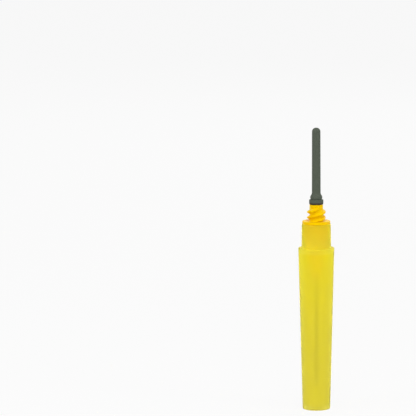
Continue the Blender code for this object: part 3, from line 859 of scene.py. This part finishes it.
class NEEDLE_OT_make_hub(bpy.types.Operator):
    """Make the hub: nose, ribbed grip, flange, thread, neck and the boss that holds the sleeve"""

    bl_idname = "needle.make_hub"
    bl_label = "Make Hub"

    def execute(self, context):
        sizes = context.scene.needle_sizes
        flange_bottom = shield_high.z + sizes.seat_gap
        flange_top = flange_bottom + sizes.flange_thickness
        grip_bottom = hub_low.z + sizes.nose_length
        seat = hub_high.z - sizes.boss_length
        bore = cannula_high.x + sizes.bond_gap
        boss = sizes.boss_diameter / 2
        root = sizes.thread_root_diameter / 2
        thread_floor = flange_top - sizes.seat_step
        seat_ring = root + sizes.thread_depth + EDGE_ROUND + FINE_ROUND
        rib_crest = self.bore_radius(sizes, grip_bottom) - sizes.grip_clearance
        core = rib_crest - sizes.rib_height
        well = adhesive_high.x + sizes.bond_gap
        well_top = hub_low.z + sizes.well_depth
        nose_root = core - NOSE_SHOULDER
        nose_tip = well + NOSE_TIP_WALL
        corners = [
            Corner(bore, hub_high.z),
            Corner(boss, hub_high.z, EDGE_ROUND, WALL_PIECE),
            Corner(boss, seat, EDGE_ROUND),
            Corner(root, seat, EDGE_ROUND, THREAD_PIECE),
            Corner(root, thread_floor, FOOT_FILLET),
            Corner(seat_ring, thread_floor),
            Corner(seat_ring, flange_top, 0.0, WALL_PIECE),
            Corner(hub_high.x, flange_top, SOFT_ROUND),
            Corner(hub_high.x, flange_bottom, EDGE_ROUND),
            Corner(core, flange_bottom, EDGE_ROUND, RIB_PIECE),
            Corner(core, grip_bottom, EDGE_ROUND),
            Corner(nose_root, grip_bottom, EDGE_ROUND, WALL_PIECE),
            Corner(nose_tip, hub_low.z, SOFT_ROUND),
            Corner(well, hub_low.z, EDGE_ROUND, WALL_PIECE),
            Corner(well, well_top),
            Corner(bore, well_top, 0.0, BORE_PIECE),
        ]
        hub = turned("threaded_hub", corners, HUB_SIDES, closed=True)
        relief = {
            "Thread Core Radius": root,
            "Thread Foot": flange_top,
            "Thread Floor": thread_floor,
            "Thread Top": seat,
            "Thread Depth": sizes.thread_depth,
            "Thread Lead": sizes.thread_lead,
            "Thread Starts": float(sizes.thread_starts),
            "Thread Height": sizes.thread_height,
            "Thread Entry": sizes.thread_entry,
            "Thread Run-Out": sizes.thread_runout,
            "Ridge Base Width": sizes.thread_base_width,
            "Ridge Crest Width": sizes.thread_crest_width,
            "Ridge Sink": RIDGE_SINK,
            "Ridge Softness": RIDGE_SOFTNESS,
            "Grip Core Radius": core,
            "Rib Foot": grip_bottom,
            "Rib Top": flange_bottom,
            "Rib Count": float(sizes.rib_count),
            "Rib Height": sizes.rib_height,
            "Rib Width": sizes.rib_width,
            "Rib Lead-In": sizes.rib_lead_in,
            "Rib Edge": EDGE_ROUND,
            "Zone Margin": FOOT_FILLET + HAIR,
        }
        add_relief(hub, relief, hub_finish(context.scene.needle_colours))
        settle(hub)
        smooth(hub)
        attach(hub, "needle")
        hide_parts("needle_hub")
        return {"FINISHED"}

    def bore_radius(self, sizes, height):
        """The radius of the shield's tapered bore at a height."""
        low = sizes.foot_diameter / 2 - sizes.foot_wall
        high = sizes.mouth_diameter / 2 - sizes.mouth_wall
        share = (height - sizes.floor_thickness) / (shield_high.z - sizes.floor_thickness)
        return low + (high - low) * share


class NEEDLE_OT_make_cannula(bpy.types.Operator):
    """Make the steel cannula, ground to a point at both ends"""

    bl_idname = "needle.make_cannula"
    bl_label = "Make Cannula"

    def execute(self, context):
        sizes = context.scene.needle_sizes
        radius = cannula_high.x
        bore = radius - sizes.cannula_wall
        front, rear = cannula_low.z, cannula_high.z
        corners = [
            Corner(bore, rear + HAIR),
            Corner(radius, rear + HAIR, 0.0, BORE_PIECE),
            Corner(radius, front - 2 * HAIR),
            Corner(bore, front - 2 * HAIR, 0.0, BORE_PIECE),
        ]
        cannula = turned("steel_cannula", corners, CANNULA_SIDES, closed=True)
        blocks = [
            grind_block("front_bevel", front, -1, sizes.front_bevel, 0.0, radius),
            grind_block("lancet_left", front - HAIR, -1, sizes.lancet_bevel, -sizes.lancet_turn, radius),
            grind_block("lancet_right", front - HAIR, -1, sizes.lancet_bevel, sizes.lancet_turn, radius),
            grind_block("rear_bevel", rear, 1, sizes.rear_bevel, 0.0, radius),
        ]
        for block in blocks:
            cut = cannula.modifiers.new(block.name, "BOOLEAN")
            cut.operation = "DIFFERENCE"
            cut.solver = "EXACT"
            cut.object = block
        settle(cannula)
        for block in blocks:
            bpy.data.objects.remove(block)
        smooth(cannula)
        cannula.data.materials.clear()
        cannula.data.materials.append(steel_finish(context.scene.needle_colours))
        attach(cannula, "needle")
        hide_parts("cannula")
        return {"FINISHED"}


class NEEDLE_OT_make_adhesive(bpy.types.Operator):
    """Make the bead of adhesive that holds the cannula in the nose's well"""

    bl_idname = "needle.make_adhesive"
    bl_label = "Make Adhesive"

    def execute(self, context):
        sizes = context.scene.needle_sizes
        inner = cannula_high.x + sizes.bond_gap
        outer = adhesive_high.x
        low, high = adhesive_low.z, adhesive_high.z
        corners = [
            Corner(inner, high),
            Corner(outer, high, 0.0, WALL_PIECE),
            Corner(outer, low, FINE_ROUND),
            Corner((inner + outer) / 2, low + BEAD_DISH, SOFT_ROUND),
            Corner(inner, low, FINE_ROUND, WALL_PIECE),
        ]
        bead = turned("adhesive_bead", corners, BEAD_SIDES, closed=True)
        smooth(bead)
        bead.data.materials.append(adhesive_finish(context.scene.needle_colours))
        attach(bead, "needle")
        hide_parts("cannula_adhesive")
        return {"FINISHED"}


class NEEDLE_OT_make_sleeve(bpy.types.Operator):
    """Make the closed rubber sleeve, which sits on the hub's boss"""

    bl_idname = "needle.make_sleeve"
    bl_label = "Make Sleeve"

    def execute(self, context):
        sizes = context.scene.needle_sizes
        bottom, tip = sleeve_low.z, sleeve_high.z
        ring_top = bottom + sizes.ring_height
        crease = ring_top + sizes.ring_bevel
        flare_top = bottom + sizes.flare_length
        tube_root = flare_top + sizes.flare_slope
        socket = sizes.boss_diameter / 2 + sizes.socket_gap
        flare = socket + sizes.flare_wall
        ring = sleeve_high.x
        groove = sizes.crease_depth
        bore = sizes.sleeve_bore_diameter / 2
        tube = bore + sizes.sleeve_wall
        tube_tip = tube - sizes.sleeve_draft
        socket_top = hub_high.z + sizes.socket_gap
        corners = [
            Corner(0.0, tip),
            Corner(tube_tip, tip, sizes.tip_round, WALL_PIECE),
            Corner(tube, tube_root, sizes.flare_slope, WALL_PIECE),
            Corner(flare, flare_top, sizes.flare_slope / 2, WALL_PIECE),
            Corner(flare, crease + groove, FINE_ROUND),
            Corner(flare - groove, crease + groove / 2, FINE_ROUND),
            Corner(flare - groove, crease, FINE_ROUND),
            Corner(ring, ring_top, EDGE_ROUND, WALL_PIECE),
            Corner(ring, bottom + SOFT_ROUND, EDGE_ROUND, WALL_PIECE),
            Corner(ring - EDGE_ROUND, bottom, FINE_ROUND, WALL_PIECE),
            Corner(socket, bottom, EDGE_ROUND, WALL_PIECE),
            Corner(socket, socket_top, 0.0, WALL_PIECE),
            Corner(bore, socket_top + socket - bore, 0.0, WALL_PIECE),
            Corner(bore, tip - sizes.tip_wall, EDGE_ROUND),
            Corner(0.0, tip - sizes.tip_wall),
        ]
        sleeve = turned("sleeve_rubber", corners, SLEEVE_SIDES)
        smooth(sleeve)
        sleeve.data.materials.append(rubber_finish(context.scene.needle_colours))
        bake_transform(sleeve)
        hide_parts("rubber_sleeve")
        return {"FINISHED"}


class NEEDLE_OT_make_stage(bpy.types.Operator):
    """Make the pale floor, the white surroundings, the soft lamps and the camera"""

    bl_idname = "needle.make_stage"
    bl_label = "Make Stage"

    def execute(self, context):
        context.scene.view_settings.view_transform = "Standard"
        self.make_floor(context)
        self.make_world(context)
        for lamp in LAMPS:
            self.make_lamp(context, *lamp)
        self.make_camera(context)
        return {"FINISHED"}

    def make_floor(self, context):
        """A wide floor under the shield's foot."""
        shape = bmesh.new()
        bmesh.ops.create_grid(shape, x_segments=1, y_segments=1, size=FLOOR_SIZE / 2)
        floor = link_mesh("floor", shape)
        floor.data.materials.append(floor_finish(context.scene.needle_colours))

    def make_world(self, context):
        """Even surroundings that give soft light, and that a camera sees as white."""
        world = bpy.data.worlds.new("studio")
        context.scene.world = world
        world.use_nodes = True
        wiring = Wiring(world.node_tree)
        strength = wiring.between(seen_directly(wiring), ROOM_LIGHT, 1.0)
        background = world.node_tree.nodes["Background"]
        background.inputs["Color"].default_value = WHITE
        wiring.feed(background.inputs["Strength"], strength)

    def make_lamp(self, context, name, place, size, power):
        """A square soft lamp that faces the needle."""
        light = bpy.data.lights.new(name, "AREA")
        light.size = size
        light.energy = power
        lamp = bpy.data.objects.new(name, light)
        context.scene.collection.objects.link(lamp)
        lamp.location = place
        aim = Vector((0.0, 0.0, cad_high.z / 2)) - lamp.location
        lamp.rotation_euler = aim.to_track_quat("-Z", "Y").to_euler()

    def make_camera(self, context):
        """A long lens from the photograph's viewing angle."""
        camera = bpy.data.objects.new("camera", bpy.data.cameras.new("camera"))
        context.scene.collection.objects.link(camera)
        context.scene.camera = camera
        camera.data.lens = LENS
        camera.data.sensor_width = SENSOR_WIDTH
        distance = FRAME_WIDTH * LENS / SENSOR_WIDTH
        elevation = math.radians(CAMERA_ELEVATION_DEGREES)
        aim = Vector((FRAME_CENTRE_X, 0.0, FRAME_CENTRE_HEIGHT))
        camera.location = aim + distance * Vector((0.0, -math.cos(elevation), math.sin(elevation)))
        tilt = Matrix.Rotation(math.pi / 2 - elevation, 3, "X")
        roll = Matrix.Rotation(math.radians(CAMERA_ROLL_DEGREES), 3, "Z")
        camera.rotation_euler = (tilt @ roll).to_euler()
        camera.data.clip_start = distance * NEAR_CLIP_SHARE
        camera.data.clip_end = distance + FLOOR_SIZE


class NEEDLE_PT_sidebar(bpy.types.Panel):
    """The needle's pieces, sizes and colours"""

    bl_idname = "NEEDLE_PT_sidebar"
    bl_label = "Blood Collection Needle"
    bl_space_type = "VIEW_3D"
    bl_region_type = "UI"
    bl_category = "Needle"

    def draw(self, context):
        for operator in OPERATORS:
            self.layout.operator(operator.bl_idname)
        scene = context.scene
        for title, group in (("Sizes", scene.needle_sizes), ("Colours", scene.needle_colours)):
            column = self.layout.column(heading=title)
            for name in group.__annotations__:
                column.prop(group, name)


OPERATORS = (
    NEEDLE_OT_make_stage,
    NEEDLE_OT_make_shield,
    NEEDLE_OT_make_hub,
    NEEDLE_OT_make_cannula,
    NEEDLE_OT_make_adhesive,
    NEEDLE_OT_make_sleeve,
)
CLASSES = (NeedleSizes, NeedleColours, *OPERATORS, NEEDLE_PT_sidebar)


def register():
    """Registers the classes, and hangs the sizes and colours on the scene."""
    for item in CLASSES:
        bpy.utils.register_class(item)
    bpy.types.Scene.needle_sizes = PointerProperty(type=NeedleSizes)
    bpy.types.Scene.needle_colours = PointerProperty(type=NeedleColours)


def unregister():
    """Undoes what register did."""
    del bpy.types.Scene.needle_colours
    del bpy.types.Scene.needle_sizes
    for item in reversed(CLASSES):
        bpy.utils.unregister_class(item)


def main():
    """Makes the stage and every piece."""
    register()
    bpy.ops.needle.make_stage()
    bpy.ops.needle.make_shield()
    bpy.ops.needle.make_hub()
    bpy.ops.needle.make_cannula()
    bpy.ops.needle.make_adhesive()
    bpy.ops.needle.make_sleeve()


if __name__ == "__main__":
    main()
